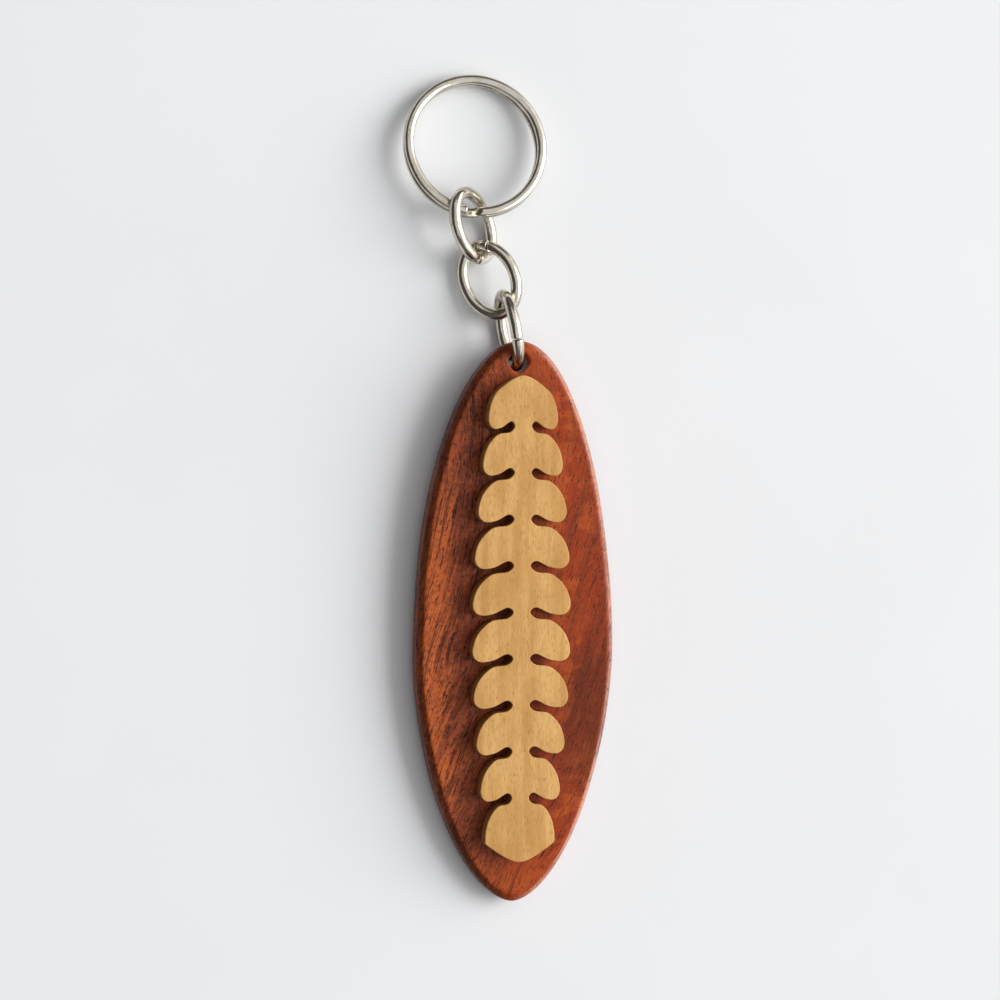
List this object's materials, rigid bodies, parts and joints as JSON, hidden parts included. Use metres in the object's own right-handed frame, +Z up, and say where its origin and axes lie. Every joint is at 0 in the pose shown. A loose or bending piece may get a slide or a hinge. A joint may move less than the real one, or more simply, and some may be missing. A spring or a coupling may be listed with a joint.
{
  "type": "keychain",
  "caption": "Keychain: a lens-shaped hardwood tablet with a sawn light-wood leaf sprig on its face, oval wire links and a split ring.",
  "frame": {"origin": "on the table, under the middle of the whole object's box as it lies face up", "axes": "+Z up out of the table and the tablet's face, +Y along the tablet towards the split ring, +X to the right seen from above"},
  "size_m": [0.0364, 0.1414, 0.0112],
  "materials": {
    "red_wood": "satin lacquer over dark red hardwood",
    "light_wood": "matt, sanded, light softwood or maple",
    "nickel": "bright nickel plating on steel wire"
  },
  "bodies": {
    "tablet": {"tablet": "red_wood", "sprig": "light_wood"},
    "link_1": {"link_1": "nickel"},
    "link_2": {"link_2": "nickel"},
    "link_3": {"link_3": "nickel"},
    "split_ring": {"split_ring": "nickel"}
  },
  "joints": [
    {"name": "link_1_swing", "type": "hinge", "parent": "tablet", "child": "link_1", "pos_m": [0.00073, 0.02131, 0.00543], "axis": [0, -0.0322, 0.9995], "range_deg": [-90, 75]},
    {"name": "link_2_lift", "type": "hinge", "parent": "link_1", "child": "link_2", "pos_m": [-0.00101, 0.02987, 0.00437], "axis": [0.9823, 0.1874, 0], "range_deg": [-12, 70]},
    {"name": "link_3_swing", "type": "hinge", "parent": "link_2", "child": "link_3", "pos_m": [-0.00563, 0.04108, 0.00295], "axis": [0.6354, 0.0386, 0.7712], "range_deg": [-90, 12]},
    {"name": "split_ring_flop", "type": "hinge", "parent": "link_3", "child": "split_ring", "pos_m": [-0.01001, 0.04748, 0.0048], "axis": [0.9302, -0.3629, 0.0549], "range_deg": [-4, 120]}
  ]
}
